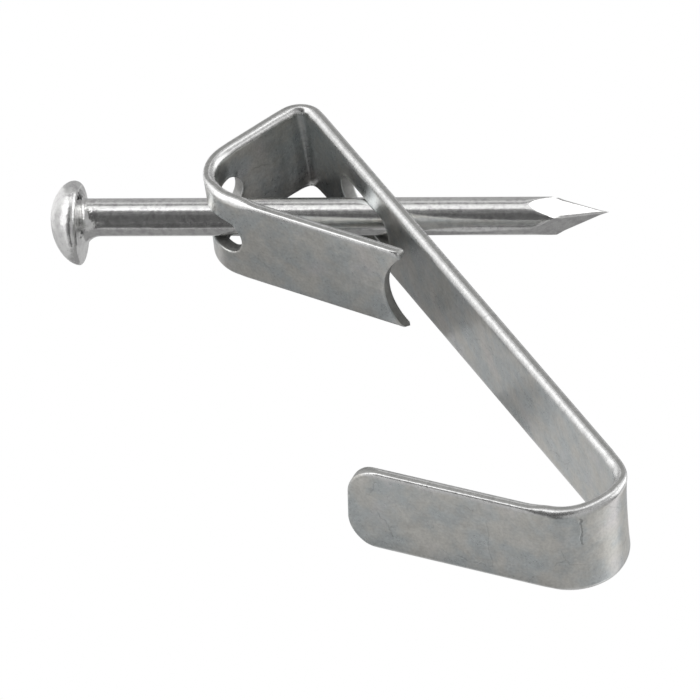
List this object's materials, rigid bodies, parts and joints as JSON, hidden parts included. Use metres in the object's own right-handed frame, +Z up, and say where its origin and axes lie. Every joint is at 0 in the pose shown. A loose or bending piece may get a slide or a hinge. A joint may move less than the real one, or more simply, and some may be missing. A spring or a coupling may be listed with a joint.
{
  "type": "picture hanger",
  "caption": "Flat steel strip bent into a nail-guiding loop above a long leg and an upturned hook, pinned to the wall by one slanting domed-head nail.",
  "frame": {"origin": "on the strip's back face, which lies on the wall, on its centre line and halfway between the leg's upper and lower corners", "axes": "+X across the strip, +Y into the wall, square to it, +Z up the wall; the hook opens towards -Y and +Z"},
  "size_m": [0.0058, 0.027, 0.0429],
  "materials": {
    "plated_strip": "satin zinc plate",
    "bright_nail": "bright polished"
  },
  "bodies": {
    "strip": {"hanger_strip": "plated_strip"},
    "nail": {"nail": "bright_nail"}
  },
  "joints": [
    {"name": "nail_slide", "type": "slide", "parent": "strip", "child": "nail", "axis": [0, 0.8271, -0.5621], "range_m": [-0.0125, 0.0065]}
  ]
}
